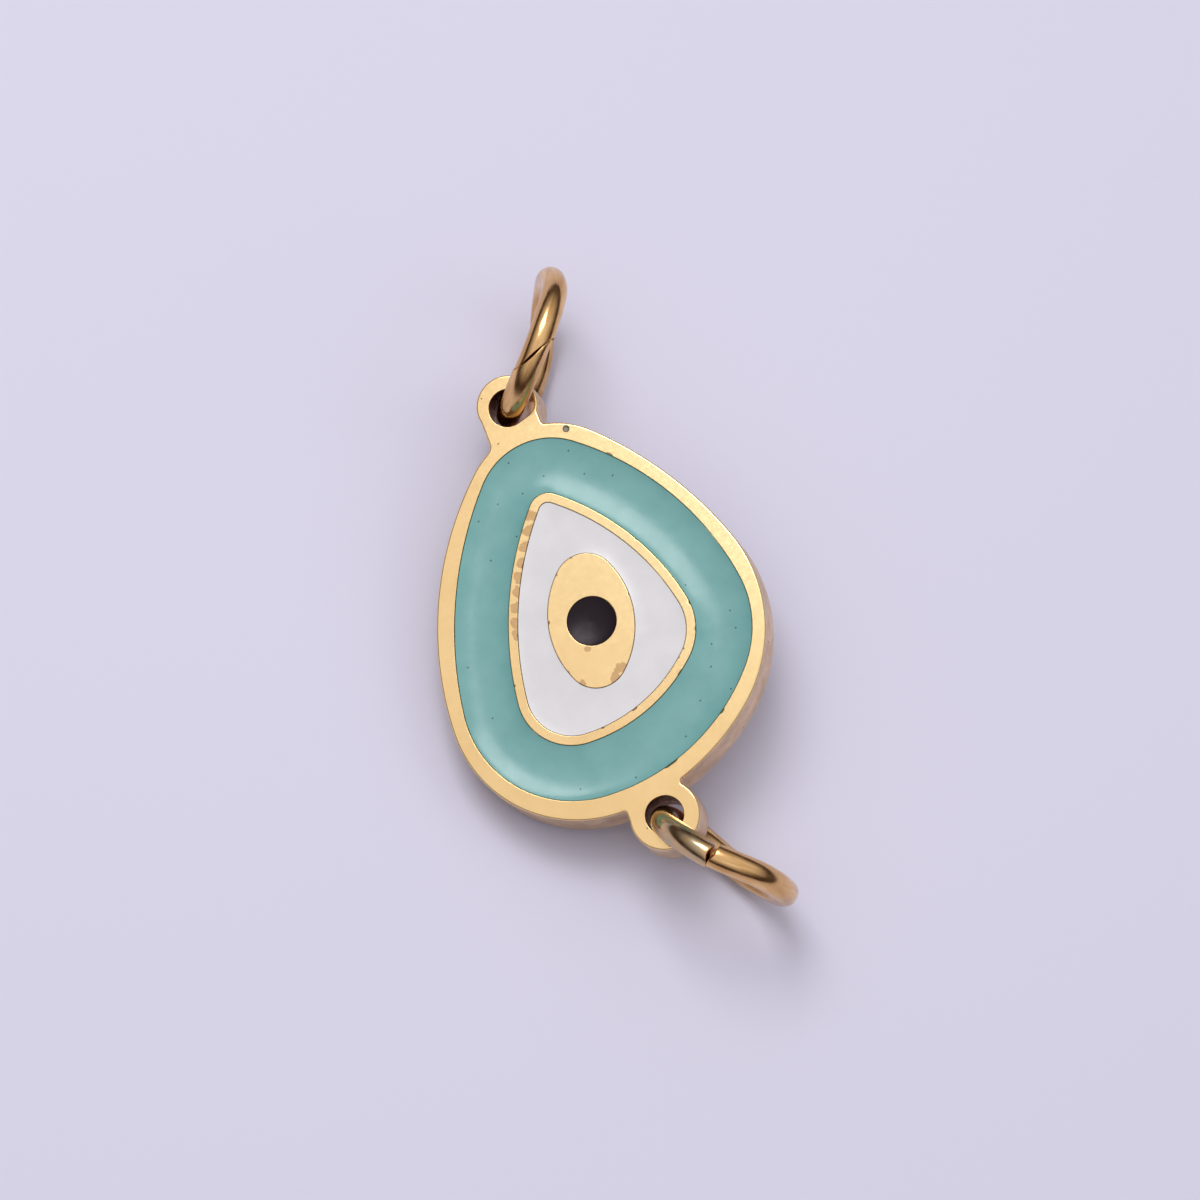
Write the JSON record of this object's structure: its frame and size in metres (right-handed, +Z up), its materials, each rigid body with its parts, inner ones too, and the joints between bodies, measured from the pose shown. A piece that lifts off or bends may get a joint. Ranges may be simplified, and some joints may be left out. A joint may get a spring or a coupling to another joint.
{
  "type": "evil eye charm connector",
  "caption": "Gold-tone rounded triangular charm with recessed turquoise, white and black enamel forming an eye, and open jump rings through its end lugs to link into a chain.",
  "frame": {"origin": "middle of the bottom of the box that the charm takes up as it lies on a table, on its left edge and its two rings", "axes": "+Y from the lower lug to the upper lug, +Z up from the table. The charm's face leans 16.7 degrees from +Z towards -X, and its right side is raised."},
  "size_m": [0.0098, 0.0202, 0.0049],
  "materials": {
    "gold_plate": "polished steel with gold-coloured plating, duller on the edges and back",
    "turquoise_enamel": "glossy opaque turquoise enamel, sunk in a shallow curve",
    "white_enamel": "glossy opaque white enamel",
    "black_enamel": "glossy black enamel",
    "ring_wire": "drawn steel wire with gold-coloured plating"
  },
  "bodies": {
    "charm": {"charm_plate": "gold_plate", "turquoise_enamel": "turquoise_enamel", "white_enamel": "white_enamel", "pupil_enamel": "black_enamel"},
    "upper_ring": {"upper_jump_ring": "ring_wire"},
    "lower_ring": {"lower_jump_ring": "ring_wire"}
  },
  "joints": [
    {"name": "upper_ring_swing", "type": "hinge", "parent": "charm", "child": "upper_ring", "pos_m": [-0.00005, 0.00648, 0.00211], "axis": [-0.2874, 0, 0.9578], "range_deg": [-81, 162]},
    {"name": "lower_ring_swing", "type": "hinge", "parent": "charm", "child": "lower_ring", "pos_m": [-0.00005, -0.00639, 0.00211], "axis": [-0.2874, 0, 0.9578], "range_deg": [-139, 74]}
  ]
}
